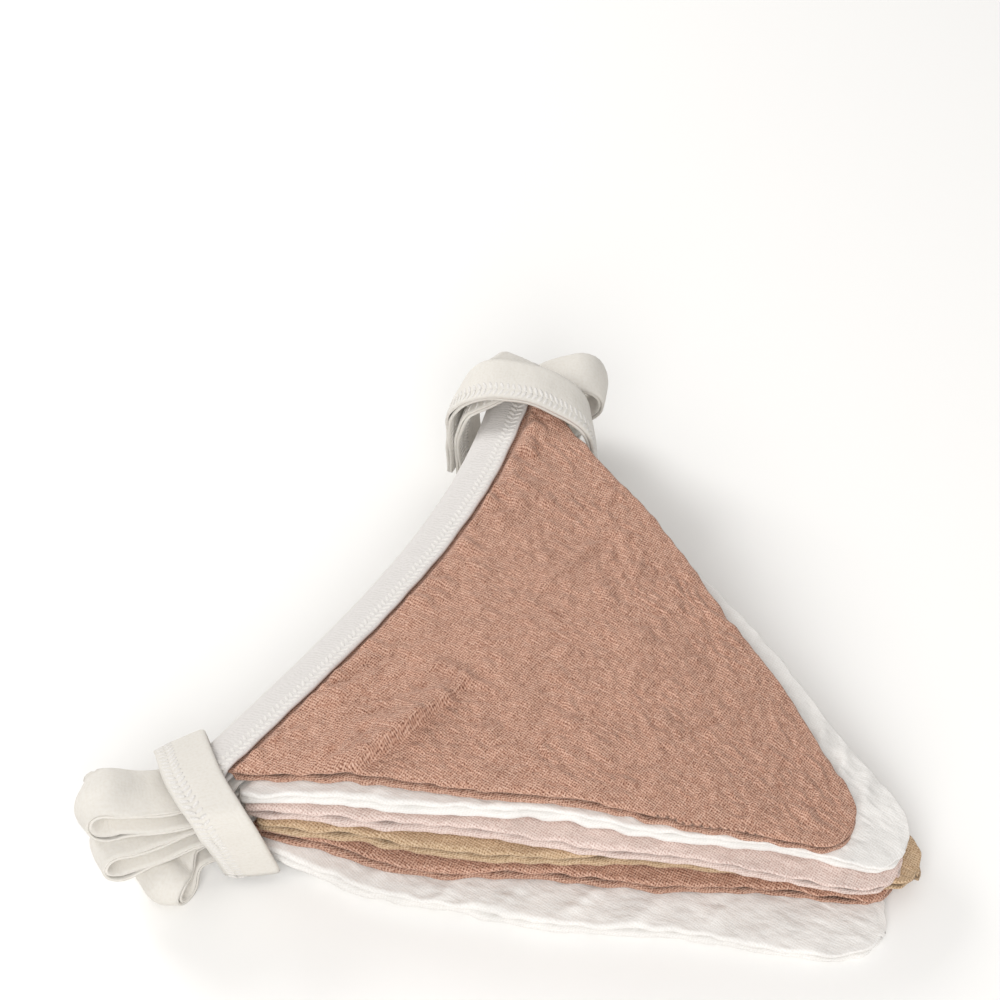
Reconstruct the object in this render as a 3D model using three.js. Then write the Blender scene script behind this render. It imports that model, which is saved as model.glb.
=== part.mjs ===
// Fabric bunting folded into a stack: six gauze pennants, one on the other, on one tape that runs
// to and fro between them and whose two ends are wound round the corners of the stack.
// Millimetres, +Z up. The stack lies on z = 0, +X runs from the sewn edges to the tips and +Y along
// the tape, from the near corner to the far one. The origin is under the middle of the stack.
import * as THREE from "three";

const { degToRad, lerp, mapLinear, smoothstep } = THREE.MathUtils;

// Pennant
const pennantWidth = 147;
const pennantHeight = 151;
const tipRadius = 11;
const tipHalfAngle = degToRad(23.7);
const seamDepth = 10; // cloth caught inside the tape
const seamThickness = 1;
const looseFrom = 0; // distances from the sewn edge between which the cloth fills out
const looseTo = 14;
const fillShare = 0.8; // share of the room between two layers that a pennant fills
const lipOut = 0.7; // each side shows two rounded lips
const grooveIn = 1.1; // with the seam between them
const rimIn = 0.6;
const waveLength = 9; // of the sides, over 2 pi
const waveStep = 2.1; // how far the waves of one pennant lag behind the next one's
const waveSkew = 1.7; // and those of one side behind the other's
const columns = 10; // faces across and along a pennant
const rowCount = 15;

// Tape, folded lengthways
const tapeWidth = 14.5;
const leaf = 0.8;
const slotShut = 0.2; // half of the gap between the leaves of bare tape
const slotOpen = 1.1; // and where a pennant is held
const slotDepth = seamDepth + 0.6;
const slotEnd = 3; // the slot is shut again this far past a pennant's corner
const nearSqueeze = 0.97; // the band round the near corner presses the tape runs' ends down
const topTilt = degToRad(21); // how far the top run leans down and out
const tapeHalf = leaf + slotShut;

// Stack
const sewnLine = -62; // place of the sewn edges along X
const stackHeight = { near: 33, far: 38.5, tip: 19.5, nearSide: 10.5, farSide: 6, tapeSide: 1.5 };
const tapeLift = 2.9; // the lowest tape run lies under the bottom pennant
const cornerLift = 3.3; // and the wound ends pass under the corners
const tapeSlope = { from: 4, to: 28 }; // distances from the sewn line over which the cloth comes down
const cornerSlope = { near: { from: 10, to: 26 }, far: { from: 24, to: 44 } }; // the same, at corners
const cornerRise = { from: 36, to: 52 }; // distances from the tape's middle over which corners rise
const bowSkew = 0.36; // the sewn edges bow more towards the far corner
const bodyFrom = 48; // a pennant has swung fully to its own side this far from the tape

// One row a pennant, top first: shift of its sewn edge and of its body along the tape, advance
// towards the tips, turn in degrees, bow of the sewn edge, length seen from above, edge waviness.
const pennants = [
  { name: "pennant_clay_top", colour: 0xc09280,
    tapeShift: -1, bodyShift: -0.5, advance: 0, turn: 0.5, bow: 10, length: 0.935, wave: 0.6 },
  { name: "pennant_white_upper", colour: 0xeeece9,
    tapeShift: -1.5, bodyShift: -1, advance: 3, turn: 3.6, bow: 8, length: 1, wave: 0.8 },
  { name: "pennant_pink", colour: 0xdabeb8,
    tapeShift: -1, bodyShift: -3, advance: 4, turn: 2.4, bow: 7, length: 1, wave: 0.7 },
  { name: "pennant_sand", colour: 0xc4a882,
    tapeShift: 0, bodyShift: -5, advance: 7, turn: 4.8, bow: 5, length: 1.01, wave: 0.6 },
  { name: "pennant_clay_lower", colour: 0xbe9280,
    tapeShift: -1, bodyShift: -9, advance: 4, turn: 5.6, bow: 5, length: 1, wave: 0.8 },
  { name: "pennant_white_bottom", colour: 0xeeece9,
    tapeShift: -2, bodyShift: -14, advance: 6, turn: 1.6, bow: 4, length: 1.01, wave: 1 },
];
// The lowest run of tape carries no pennant: it is the tape's end on its way to the near corner.
const tail = { tapeShift: 0, bodyShift: 0, advance: 6, turn: 0, bow: 2, length: 1 };
const tailShort = 4; // stations of its run before which it turns off
const tapeColour = 0xeeece4;

const loopBend = [115, 85, 55, 28]; // directions from a loop's middle to its stations, in degrees
// One row a loop of bare tape, top first; they stand out at the near and the far corner in turn.
// neck: how far the legs run on, veer: their turn off the tape's line, reach and swing: distance and
// turn of the loop's middle from there, girth: its diameter, pitch: its rise, in mm and degrees.
const loops = [
  { neck: 9, veer: -28, reach: 17, swing: -50, girth: 11, pitch: 3 },
  { neck: 9, veer: 10, reach: 10, swing: 60, girth: 13, pitch: 12 },
  { neck: 9, veer: -34, reach: 20, swing: -40, girth: 9.5, pitch: -10.5 },
  { neck: 12, veer: 0, reach: 8, swing: -10, girth: 9, pitch: 0 },
  { neck: 9, veer: -33, reach: 11, swing: 0, girth: 8, pitch: -22 },
  { neck: 10, veer: 0, reach: 4, swing: 0, girth: 5, pitch: 0 },
];

// The end of the tape at the far corner, from its free end to where the top run begins, and the end
// at the near corner, from the lowest run to its free end. x is measured from the sewn line,
// facing is the direction of the tape's fold seen from above and lean its rise, in degrees.
const farTie = [
  { x: -18.6, y: 63.2, z: 10, facing: 95, lean: 0 },
  { x: -18.8, y: 63.2, z: 24, facing: 95, lean: 0 },
  { x: -18.3, y: 63, z: 36.7, facing: 100, lean: 4 },
  { x: -12.4, y: 65, z: 45.3, facing: 112, lean: 2 },
  { x: -2, y: 69, z: 47, facing: 112, lean: 0 },
  { x: 8, y: 72, z: 45.6, facing: 114, lean: -2 },
  { x: 15.8, y: 73, z: 41.5, facing: 121, lean: -2 },
  { x: 19.4, y: 73.6, z: 30, facing: 126, lean: 0 },
  { x: 19.2, y: 74.2, z: 13.6, facing: 124, lean: 0 },
  { x: 14.5, y: 72.8, z: 2.6, facing: 118, lean: 0 },
  { x: 4, y: 69.5, z: 1.5, facing: 110, lean: 0 },
  { x: -9.6, y: 65.5, z: 1.6, facing: 106, lean: 0 },
  { x: -15, y: 64, z: 5.6, facing: 100, lean: 0 },
  { x: -15.8, y: 63.5, z: 16, facing: 96, lean: 0 },
  { x: -16, y: 63.5, z: 28, facing: 98, lean: 0 },
  { x: -13.8, y: 64.8, z: 37.5, facing: 105, lean: 0 },
  { x: -10.8, y: 69, z: 41.6, facing: 140, lean: 0 },
  { x: -8.6, y: 75.5, z: 42, facing: 172, lean: 0 },
  { x: -8, y: 79.8, z: 41.2, facing: 180, lean: 0 },
  { x: -7.8, y: 81.4, z: 39.4, facing: 180, lean: 0 },
];
const nearTie = [
  { x: -1, y: -44, z: 1, facing: 181, lean: 0 },
  { x: -2.2, y: -54, z: 1, facing: 170, lean: 0 },
  { x: -5.6, y: -62.8, z: 1.2, facing: 138, lean: 0 },
  { x: -10.4, y: -68, z: 1.6, facing: 102, lean: 0 },
  { x: -15.2, y: -69.8, z: 3.6, facing: 78, lean: 0 },
  { x: -17.4, y: -70, z: 9, facing: 67, lean: 0 },
  { x: -18.2, y: -70.4, z: 18, facing: 65, lean: 0 },
  { x: -18.9, y: -71.6, z: 27.8, facing: 62, lean: 0 },
  { x: -12.2, y: -77.6, z: 33.9, facing: 56, lean: 0 },
  { x: -3.6, y: -83.4, z: 35.3, facing: 52, lean: 0 },
  { x: 3.8, y: -86.8, z: 34, facing: 48, lean: 0 },
  { x: 6.9, y: -86.6, z: 27.6, facing: 45, lean: 0 },
  { x: 7.9, y: -85.2, z: 20.4, facing: 42, lean: 0 },
  { x: 9.2, y: -83.8, z: 12, facing: 38, lean: 0 },
  { x: 10.2, y: -82.4, z: 4, facing: 35, lean: 0 },
];

const sewnHalf = pennantWidth / 2;
const tipCentre = pennantHeight - tipRadius;
const arcStart = tipCentre + tipRadius * Math.sin(tipHalfAngle); // the side seams end at the tip's arc
const arcHalf = tipRadius * Math.cos(tipHalfAngle);
const layerCount = pennants.length - 1 + fillShare / 2; // from the ground to the middle of the top layer

// Half the width of a pennant at the distance v from its sewn edge.
function halfWidth(v) {
  if (v <= 0) return sewnHalf;
  if (v <= arcStart) return lerp(sewnHalf, arcHalf, v / arcStart);
  return Math.sqrt(tipRadius ** 2 - (v - tipCentre) ** 2);
}

// A point of a pennant in plan, at the distance v from the sewn edge and the place u along it.
function place(row, v, u) {
  const side = u / sewnHalf;
  const bow = row.bow * (1 - side ** 2) * (1 + bowSkew * side) * (1 - v / pennantHeight);
  const along = v * row.length + bow;
  const swung = smoothstep(v, 0, bodyFrom);
  const shift = lerp(row.tapeShift, row.bodyShift, swung);
  const turn = degToRad(row.turn) * swung;
  const x = sewnLine + row.advance + along * Math.cos(turn) - u * Math.sin(turn);
  return new THREE.Vector3(x, shift + along * Math.sin(turn) + u * Math.cos(turn), 0);
}

// Middle of the top pennant above a point in plan: a quadratic patch over the stack's triangle.
function topHeight({ x, y }) {
  const tip = (x - sewnLine) / pennantHeight;
  const far = (1 - tip) / 2 + y / pennantWidth;
  const near = 1 - tip - far;
  const { nearSide, farSide, tapeSide } = stackHeight;
  const flat = near * stackHeight.near + far * stackHeight.far + tip * stackHeight.tip;
  return flat + 4 * (near * tip * nearSide + far * tip * farSide + near * far * tapeSide);
}

// Underside of the bottom pennant: on the ground, but raised over the tape that passes under it.
function groundHeight({ x, y }) {
  const v = x - sewnLine;
  const overTape = 1 - smoothstep(v, tapeSlope.from, tapeSlope.to);
  const slope = y < 0 ? cornerSlope.near : cornerSlope.far;
  const pastCorner = smoothstep(v, slope.from, slope.to);
  const towardsCorner = smoothstep(Math.abs(y), cornerRise.from, cornerRise.to);
  return tapeLift * overTape + cornerLift * towardsCorner * (1 - pastCorner);
}

// Room for one layer at a point in plan, and the middle of a layer there, counted from the top.
function layerRoom(point) {
  return (topHeight(point) - groundHeight(point)) / layerCount;
}
function layerMiddle(level, point) {
  return groundHeight(point) + layerRoom(point) * (layerCount - level);
}

// The sewn edge at the place u: a point on it and the way from there to the tape's fold.
function sewnEdge(row, level, u) {
  const edge = place(row, 0, u);
  const out = place(row, -1, u).sub(edge).normalize();
  if (row === tail) {
    edge.z = tapeHalf + (u > 0 ? Math.max(groundHeight(edge) - tapeLift, 0) : 0);
  } else {
    edge.z = layerMiddle(level, edge);
    out.z = -Math.tan(topTilt * (1 - level / (pennants.length - 1)));
  }
  return { edge, out: out.normalize() };
}

// A pillow on the pennant's outline, from a box with faces across, along and through it.
function pennantGeometry(row, level) {
  const geometry = new THREE.BoxGeometry(2, 1, 2, columns, rowCount, 4);
  const corners = geometry.getAttribute("position");
  const seamShare = 1 / rowCount; // of the rows inside the tape
  const straightShare = 0.8; // and up to where the others follow the tip's arc
  const lastTurn = degToRad(14); // the arc's last row, from the axis
  const tiny = 0.001;
  for (let k = 0; k < corners.count; k++) {
    const across = corners.getX(k);
    const down = 0.5 - corners.getY(k);
    const through = corners.getZ(k);
    const turn = mapLinear(down, straightShare, 1, Math.PI / 2 - tipHalfAngle, lastTurn);
    const onArc = down > straightShare + tiny;
    let v = mapLinear(down, seamShare, straightShare, 0, arcStart);
    if (down < seamShare / 2) v = -seamDepth;
    if (onArc) v = tipCentre + tipRadius * Math.cos(turn);
    const loose = smoothstep(v, looseFrom, looseTo);
    const lip = [-grooveIn, lipOut, -rimIn][Math.round(2 * Math.abs(through))];
    const sway = row.wave * Math.sin(v / waveLength + level * waveStep + across * waveSkew);
    const u = across * halfWidth(v) + loose * (across * lip + Math.abs(across) * sway);
    if (down > 1 - tiny) v += lip;
    const at = place(row, Math.max(v, 0), u);
    const thick = lerp(seamThickness, layerRoom(at) * fillShare, loose);
    at.z = layerMiddle(level, at);
    if (v < 0) at.addScaledVector(sewnEdge(row, level, u).out, -v);
    corners.setXYZ(k, at.x, at.y, at.z + (through * thick) / 2);
  }
  geometry.computeVertexNormals();
  return geometry;
}

// The tape's route is a row of stations: its middle, the way from its open edge to its fold, and half
// the gap between its leaves. First one run along a sewn edge, to the far corner (way 1) or back.
function runStations(row, level, way) {
  const held = row === tail ? slotShut : slotOpen;
  const inside = Array.from({ length: columns + 1 }, (_, k) => ((2 * k) / columns - 1) * sewnHalf);
  const places = [-sewnHalf - slotEnd, ...inside, sewnHalf + slotEnd];
  return places.map((u) => {
    const { edge, out } = sewnEdge(row, level, u * way);
    const slot = Math.abs(u) > sewnHalf ? slotShut : held;
    if (u * way < -sewnHalf) edge.z *= nearSqueeze;
    return { middle: edge.addScaledVector(out, tapeWidth / 2), out, slot };
  });
}

// A loop of bare tape from the end of one run to the start of the next.
function loopStations(loop, from, to, way) {
  const up = new THREE.Vector3(0, 0, 1);
  const heading = (degrees) => new THREE.Vector3(0, way, 0).applyAxisAngle(up, -way * degToRad(degrees));
  const neck = heading(loop.veer);
  const ahead = heading(loop.swing);
  const out = heading(loop.swing).applyAxisAngle(up, (way * Math.PI) / 2);
  const legOut = heading(loop.veer).applyAxisAngle(up, (way * Math.PI) / 2);
  const [first, last] = [from, to].map((end) => {
    return { middle: end.middle.clone().addScaledVector(neck, loop.neck), out: legOut, slot: slotShut };
  });
  const hub = first.middle.clone().add(last.middle).multiplyScalar(0.5).addScaledVector(ahead, loop.reach);
  hub.z += loop.reach * Math.tan(degToRad(loop.pitch));
  const bend = [...loopBend, 0, ...loopBend.map((degrees) => -degrees).reverse()].map((degrees) => {
    const angle = degToRad(degrees);
    const middle = hub.clone().addScaledVector(ahead, (Math.cos(angle) * loop.girth) / 2);
    middle.z += (Math.sin(angle) * loop.girth) / 2;
    return { middle, out, slot: slotShut };
  });
  return [first, ...bend, last];
}

// The stations of a wound end, with one more between each two rows of its table.
function tieStations(rows) {
  const points = rows.map(({ x, y, z }) => new THREE.Vector3(sewnLine + x, y, z));
  const middles = new THREE.CatmullRomCurve3(points);
  const outs = rows.map(({ facing, lean }) => {
    const turn = degToRad(facing);
    return new THREE.Vector3(Math.cos(turn), Math.sin(turn), Math.tan(degToRad(lean))).normalize();
  });
  const last = rows.length - 1;
  return Array.from({ length: 2 * last + 1 }, (_, k) => {
    const out = outs[Math.floor(k / 2)].clone().add(outs[Math.ceil(k / 2)]).normalize();
    return { middle: middles.getPoint(k / 2 / last), out, slot: slotShut };
  });
}

// The whole route of the tape, from its far end through the stack to its near end.
function tapeRoute() {
  const runs = [...pennants, tail].map((row, level) => runStations(row, level, level % 2 ? 1 : -1));
  const between = loops.map((loop, k) => loopStations(loop, runs[k].at(-1), runs[k + 1][0], k % 2 ? 1 : -1));
  const stations = tieStations(farTie);
  runs.at(-1).splice(-tailShort);
  runs.forEach((run, k) => stations.push(...run, ...(between[k] ?? [])));
  return [...stations, ...tieStations(nearTie)];
}

// The tape's folded section: how far each corner lies from the open edge, and whether it is on the
// inner (1) or outer face (2) of the upper leaf, or of the lower one (-1, -2).
function tapeSection() {
  const slotBack = tapeWidth - leaf;
  const inner = [[0, 1], [slotDepth, 1], [slotBack, 1], [slotBack, -1], [slotDepth, -1], [0, -1]];
  const outer = [[0, -2], [slotDepth, -2], [tapeWidth, -2], [tapeWidth, 2], [slotDepth, 2], [0, 2]];
  return new THREE.Shape([...inner, ...outer].map(([x, y]) => new THREE.Vector2(x, y)));
}

function tapeGeometry() {
  const route = tapeRoute();
  const middles = new THREE.CatmullRomCurve3(route.map((stop) => stop.middle));
  const steps = route.length - 1;
  const geometry = new THREE.ExtrudeGeometry(tapeSection(), { depth: 1, steps, bevelEnabled: false });
  const corners = geometry.getAttribute("position");
  for (let k = 0; k < corners.count; k++) {
    const share = corners.getZ(k);
    const stop = route[Math.round(share * steps)];
    const tangent = middles.getTangent(share);
    const out = stop.out.clone().addScaledVector(tangent, -stop.out.dot(tangent)).normalize();
    const normal = tangent.clone().cross(out);
    const across = corners.getX(k);
    const face = corners.getY(k);
    const shut = across > slotDepth + leaf ? slotShut : stop.slot;
    const height = Math.sign(face) * (shut + leaf * (Math.abs(face) - 1));
    const at = stop.middle.clone();
    at.addScaledVector(out, across - tapeWidth / 2).addScaledVector(normal, height);
    corners.setXYZ(k, at.x, at.y, at.z);
  }
  geometry.computeVertexNormals();
  return geometry;
}

function fabric(colour, roughness) {
  return new THREE.MeshStandardMaterial({ color: colour, roughness, metalness: 0 });
}

const bunting = new THREE.Group();
bunting.name = "folded_bunting";
pennants.forEach((row, level) => {
  const pennant = new THREE.Mesh(pennantGeometry(row, level), fabric(row.colour, 0.95));
  pennant.name = row.name;
  bunting.add(pennant);
});
const tape = new THREE.Mesh(tapeGeometry(), fabric(tapeColour, 0.85));
tape.name = "tape";
bunting.add(tape);

export default bunting;
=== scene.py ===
import math
import bmesh
import bpy
from mathutils import Matrix, Vector, noise
from mathutils.geometry import interpolate_bezier


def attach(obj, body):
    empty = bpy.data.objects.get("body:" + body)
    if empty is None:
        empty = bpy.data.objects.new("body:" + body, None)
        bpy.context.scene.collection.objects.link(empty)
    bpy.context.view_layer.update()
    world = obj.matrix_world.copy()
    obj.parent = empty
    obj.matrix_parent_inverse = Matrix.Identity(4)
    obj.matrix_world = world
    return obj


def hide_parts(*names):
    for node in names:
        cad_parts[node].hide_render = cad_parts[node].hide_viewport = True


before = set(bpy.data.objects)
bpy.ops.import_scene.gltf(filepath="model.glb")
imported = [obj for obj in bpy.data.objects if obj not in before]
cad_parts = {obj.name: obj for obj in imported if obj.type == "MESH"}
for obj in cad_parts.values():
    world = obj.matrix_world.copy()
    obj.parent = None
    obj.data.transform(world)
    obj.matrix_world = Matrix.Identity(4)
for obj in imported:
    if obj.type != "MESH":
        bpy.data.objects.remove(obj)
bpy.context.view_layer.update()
scene = bpy.context.scene
mm = 0.001  # sizes below are in millimetres, meshes in metres
print("frame loaded:", len(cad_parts), "nodes")

# Camera at the photograph's angle
view = {"angle": 22, "azimuth": 32.4, "elevation": 51, "distance": 744.3, "target": (-59.55, 51.51, 15)}


def addCamera():
    turn = math.radians(view["azimuth"])
    rise = math.radians(view["elevation"])
    back = Vector((math.sin(turn) * math.cos(rise), -math.cos(turn) * math.cos(rise), math.sin(rise)))
    data = bpy.data.cameras.new("camera")
    data.angle = math.radians(view["angle"])
    data.clip_start = 0.01
    camera = bpy.data.objects.new("camera", data)
    camera.location = (Vector(view["target"]) + back * view["distance"]) * mm
    camera.rotation_euler = back.to_track_quat("Z", "Y").to_euler()
    scene.collection.objects.link(camera)
    scene.camera = camera


addCamera()
print("camera placed")


# Small helpers for numbers and nodes
def mix(first, second, share):
    return first + (second - first) * share


def smooth(value, start, end):
    share = min(max((value - start) / (end - start), 0), 1)
    return share * share * (3 - 2 * share)


def feed(tree, value, socket):  # a link where value is another node's output, else a plain value
    if isinstance(value, bpy.types.NodeSocket):
        tree.links.new(value, socket)
    else:
        socket.default_value = value


def addMath(tree, operation, first, second=0.0):
    node = tree.nodes.new("ShaderNodeMath")
    node.operation = operation
    feed(tree, first, node.inputs[0])
    feed(tree, second, node.inputs[1])
    return node.outputs[0]


def addMapping(tree, vector, scale):
    node = tree.nodes.new("ShaderNodeMapping")
    tree.links.new(vector, node.inputs["Vector"])
    node.inputs["Scale"].default_value = scale
    return node.outputs["Vector"]


def addParts(tree, vector):
    node = tree.nodes.new("ShaderNodeSeparateXYZ")
    tree.links.new(vector, node.inputs[0])
    return node.outputs


def addClothPlace(tree):  # the place on the flat cloth, in millimetres
    return addMapping(tree, tree.nodes.new("ShaderNodeTexCoord").outputs["UV"], (1 / mm, 1 / mm, 1 / mm))


def addMark(tree, name):  # a number kept at each point of the mesh
    node = tree.nodes.new("ShaderNodeAttribute")
    node.attribute_name = name
    return node.outputs["Fac"]


noiseSpan = (0.3, 0.7)  # where most of a noise node's values lie


def addNoise(tree, vector, scale, detail=2.0, output="Fac"):
    node = tree.nodes.new("ShaderNodeTexNoise")
    tree.links.new(vector, node.inputs["Vector"])
    node.inputs["Scale"].default_value = scale
    node.inputs["Detail"].default_value = detail
    return node.outputs[output]


def addRange(tree, value, fromLow, fromHigh, low, high):
    node = tree.nodes.new("ShaderNodeMapRange")
    tree.links.new(value, node.inputs["Value"])
    for socket, number in zip(node.inputs[1:5], (fromLow, fromHigh, low, high)):
        socket.default_value = number
    return node.outputs["Result"]


def addRamp(tree, value, stops):
    node = tree.nodes.new("ShaderNodeValToRGB")
    tree.links.new(value, node.inputs["Fac"])
    ramp = node.color_ramp
    while len(ramp.elements) < len(stops):
        ramp.elements.new(1)
    for element, (position, colour) in zip(ramp.elements, stops):
        element.position = position
        element.color = (*colour, 1)
    return node.outputs["Color"]


def addBump(tree, height, strength, distance, below=None):
    node = tree.nodes.new("ShaderNodeBump")
    tree.links.new(height, node.inputs["Height"])
    node.inputs["Strength"].default_value = strength
    node.inputs["Distance"].default_value = distance * mm
    if below:
        tree.links.new(below, node.inputs["Normal"])
    return node.outputs["Normal"]


def newMaterial(name):
    material = bpy.data.materials.new(name)
    material.use_nodes = True
    return material, material.node_tree, material.node_tree.nodes["Principled BSDF"]


def linear(red, green, blue):  # a colour as a picture shows it, 0 to 255, in the shader's own scale
    return tuple(((c / 255 + 0.055) / 1.055) ** 2.4 for c in (red, green, blue))


# Floor and soft studio light
studio = {
    "floor": linear(250, 249, 247), "floorDull": 0.99, "floorGrain": 6, "floorRoughness": 0.9,
    "floorShine": 0.1, "floorHalf": 4,  # half of its side, in metres
    "worldColour": (1.0, 0.985, 0.965, 1), "worldStrength": 0.43,
    "lights": (  # place and size in millimetres, power in watts
        {"name": "windowSide", "place": (-940, 180, 540), "size": 420, "power": 5.8},
        {"name": "overhead", "place": (60, 120, 1100), "size": 1200, "power": 2.2},
        {"name": "frontFill", "place": (360, -690, 600), "size": 800, "power": 6.8},
    ),
}


def addStudio():
    mesh = bpy.data.meshes.new("floor")
    bm = bmesh.new()
    bmesh.ops.create_grid(bm, x_segments=1, y_segments=1, size=studio["floorHalf"])
    bm.to_mesh(mesh)
    bm.free()
    floor = bpy.data.objects.new("floor", mesh)
    scene.collection.objects.link(floor)
    material, tree, shader = newMaterial("paleFloor")
    grain = addNoise(tree, tree.nodes.new("ShaderNodeTexCoord").outputs["Object"], studio["floorGrain"])
    dull = tuple(c * studio["floorDull"] for c in studio["floor"])
    tree.links.new(addRamp(tree, grain, ((0, dull), (1, studio["floor"]))), shader.inputs["Base Color"])
    shader.inputs["Roughness"].default_value = studio["floorRoughness"]
    shader.inputs["Specular IOR Level"].default_value = studio["floorShine"]
    mesh.materials.append(material)
    world = bpy.data.worlds.new("studio")
    world.use_nodes = True
    sky = world.node_tree.nodes["Background"]
    sky.inputs["Color"].default_value = studio["worldColour"]
    sky.inputs["Strength"].default_value = studio["worldStrength"]
    scene.world = world
    for light in studio["lights"]:
        data = bpy.data.lights.new(light["name"], "AREA")
        data.size = light["size"] * mm
        data.energy = light["power"]
        lamp = bpy.data.objects.new(light["name"], data)
        lamp.location = Vector(light["place"]) * mm
        lamp.rotation_euler = Vector(light["place"]).to_track_quat("Z", "Y").to_euler()
        scene.collection.objects.link(lamp)
    scene.view_settings.view_transform = "Standard"


addStudio()
print("floor and lights placed")

# How the stack lies: +X from the sewn edges to the tips, +Y along the tape to the far corner
stack = {
    "sewnLine": -62, "near": 33, "far": 38.5, "tip": 19.5, "nearSide": 10.5, "farSide": 6, "tapeSide": 1.5,
    "tapeLift": 2.9, "cornerLift": 3.3, "cornerRise": (36, 52),
    "tapeSlope": (4, 28), "nearSlope": (10, 26), "farSlope": (24, 44), "bodyFrom": 48,
    "bowSkew": 0.36, "topTilt": 21, "nearSqueeze": 0.97, "levels": 5.4,
    "sway": 0.9, "swayLength": 36, "tailRise": 1, "floorGap": 0.02,
}
cut = {  # one pennant: two gauze panels sewn round and turned
    "width": 147, "height": 151, "tipRadius": 11, "tipHalfAngle": 23.7,
    "seamDepth": 10, "seamThickness": 1, "looseTo": 2.5, "fill": 0.92, "clear": 0.08,
    # underLipPaintedShade: the lower lip's share of the side seam's painted shade, where the upper lip
    # overhangs it
    "lipOut": 0.9, "lipUneven": 0.9, "lipLength": 5, "lipTurn": (-82, 90), "underLipPaintedShade": 0.45,
    "seamIn": 2.2, "seamBehind": 0.4, "seamUp": 0.3, "seamWander": 0.42, "wanderLength": 13,
    "seamOpen": (0.25, 0.8), "openSpan": (-0.4, 0.4), "openLength": 7,
    "waveLength": 9, "waveStep": 2.1, "waveSkew": 1.7, "tuckFrom": (45, 112),
    "cornerOut": 3.2, "cornerEnds": (3, 22), "rimEnds": (-1.5, 5), "rimRelief": 0.4,
    "hiddenEnds": (14, 26), "hiddenRelief": 0.3,
    "gather": 4.6, "gatherEnds": (3, 17), "gatherLength": 5, "gatherReach": 12,
    "seamRows": 3, "tipRows": 12, "lastTurn": 7, "lipSteps": 6, "finer": 0.4, "leastHalf": 4,
}
pennants = [  # top first: shifts along the tape, advance to the tips, turn in degrees, bow, length, waviness,
    # how far the near side is tucked in towards the tip, height of the crinkles, faces across and along
    {"name": "clayTop", "node": "pennant_clay_top", "finish": "clay",
     "tapeShift": -1, "bodyShift": -0.5, "advance": 0, "turn": 0.5, "bow": 10, "length": 0.935, "wave": 0.6,
     "tuck": 0, "crinkle": 1.7, "columns": 210, "rows": 190},
    {"name": "whiteUpper", "node": "pennant_white_upper", "finish": "white",
     "tapeShift": -1.5, "bodyShift": -1, "advance": 3, "turn": 3.6, "bow": 8, "length": 1, "wave": 0.8,
     "tuck": 0, "crinkle": 0.75, "columns": 116, "rows": 104},
    {"name": "pink", "node": "pennant_pink", "finish": "pink",
     "tapeShift": -1, "bodyShift": -3, "advance": 4, "turn": 2.4, "bow": 7, "length": 1, "wave": 0.7,
     "tuck": 0, "crinkle": 0.9, "columns": 116, "rows": 104},
    {"name": "sand", "node": "pennant_sand", "finish": "sand",
     "tapeShift": 0, "bodyShift": -5, "advance": 7, "turn": 4.8, "bow": 5, "length": 1.01, "wave": 0.6,
     "tuck": 3.2, "crinkle": 0.9, "columns": 116, "rows": 104},
    {"name": "clayLower", "node": "pennant_clay_lower", "finish": "clay",
     "tapeShift": -1, "bodyShift": -9, "advance": 4, "turn": 5.6, "bow": 5, "length": 1, "wave": 0.8,
     "tuck": 0, "crinkle": 0.9, "columns": 116, "rows": 104},
    {"name": "whiteBottom", "node": "pennant_white_bottom", "finish": "white",
     "tapeShift": -2, "bodyShift": -14, "advance": 6, "turn": 1.6, "bow": 4, "length": 1.01, "wave": 1,
     "tuck": 0, "crinkle": 0.75, "columns": 116, "rows": 104},
]
tail = {"tapeShift": 0, "bodyShift": 0, "advance": 6, "turn": 0, "bow": 2, "length": 1}  # lowest, bare run

sewnHalf = cut["width"] / 2
tipAngle = math.radians(cut["tipHalfAngle"])
tipCentre = cut["height"] - cut["tipRadius"]
arcStart = tipCentre + cut["tipRadius"] * math.sin(tipAngle)
arcHalf = cut["tipRadius"] * math.cos(tipAngle)


def placeInPlan(row, v, u):  # v from the sewn edge, u along it
    side = u / sewnHalf
    bow = row["bow"] * (1 - side ** 2) * (1 + stack["bowSkew"] * side) * (1 - v / cut["height"])
    along = v * row["length"] + bow
    swung = smooth(v, 0, stack["bodyFrom"])
    shift = mix(row["tapeShift"], row["bodyShift"], swung)
    turn = math.radians(row["turn"]) * swung
    x = stack["sewnLine"] + row["advance"] + along * math.cos(turn) - u * math.sin(turn)
    return Vector((x, shift + along * math.sin(turn) + u * math.cos(turn), 0))


def topHeight(at):  # middle of the top pennant, a quadratic patch over the stack's triangle
    tip = (at.x - stack["sewnLine"]) / cut["height"]
    far = (1 - tip) / 2 + at.y / cut["width"]
    near = 1 - tip - far
    flat = near * stack["near"] + far * stack["far"] + tip * stack["tip"]
    sides = near * tip * stack["nearSide"] + far * tip * stack["farSide"] + near * far * stack["tapeSide"]
    return flat + 4 * sides


def groundHeight(at):  # under the bottom pennant, raised where tape passes below it
    v = at.x - stack["sewnLine"]
    overTape = stack["tapeLift"] * (1 - smooth(v, *stack["tapeSlope"]))
    overCorner = stack["cornerLift"] * smooth(abs(at.y), *stack["cornerRise"])
    slope = stack["nearSlope"] if at.y < 0 else stack["farSlope"]
    return overTape + overCorner * (1 - smooth(v, *slope))


def layerRoom(at):
    return (topHeight(at) - groundHeight(at)) / stack["levels"]


def layerMiddle(level, at):
    return groundHeight(at) + layerRoom(at) * (stack["levels"] - level)


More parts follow.
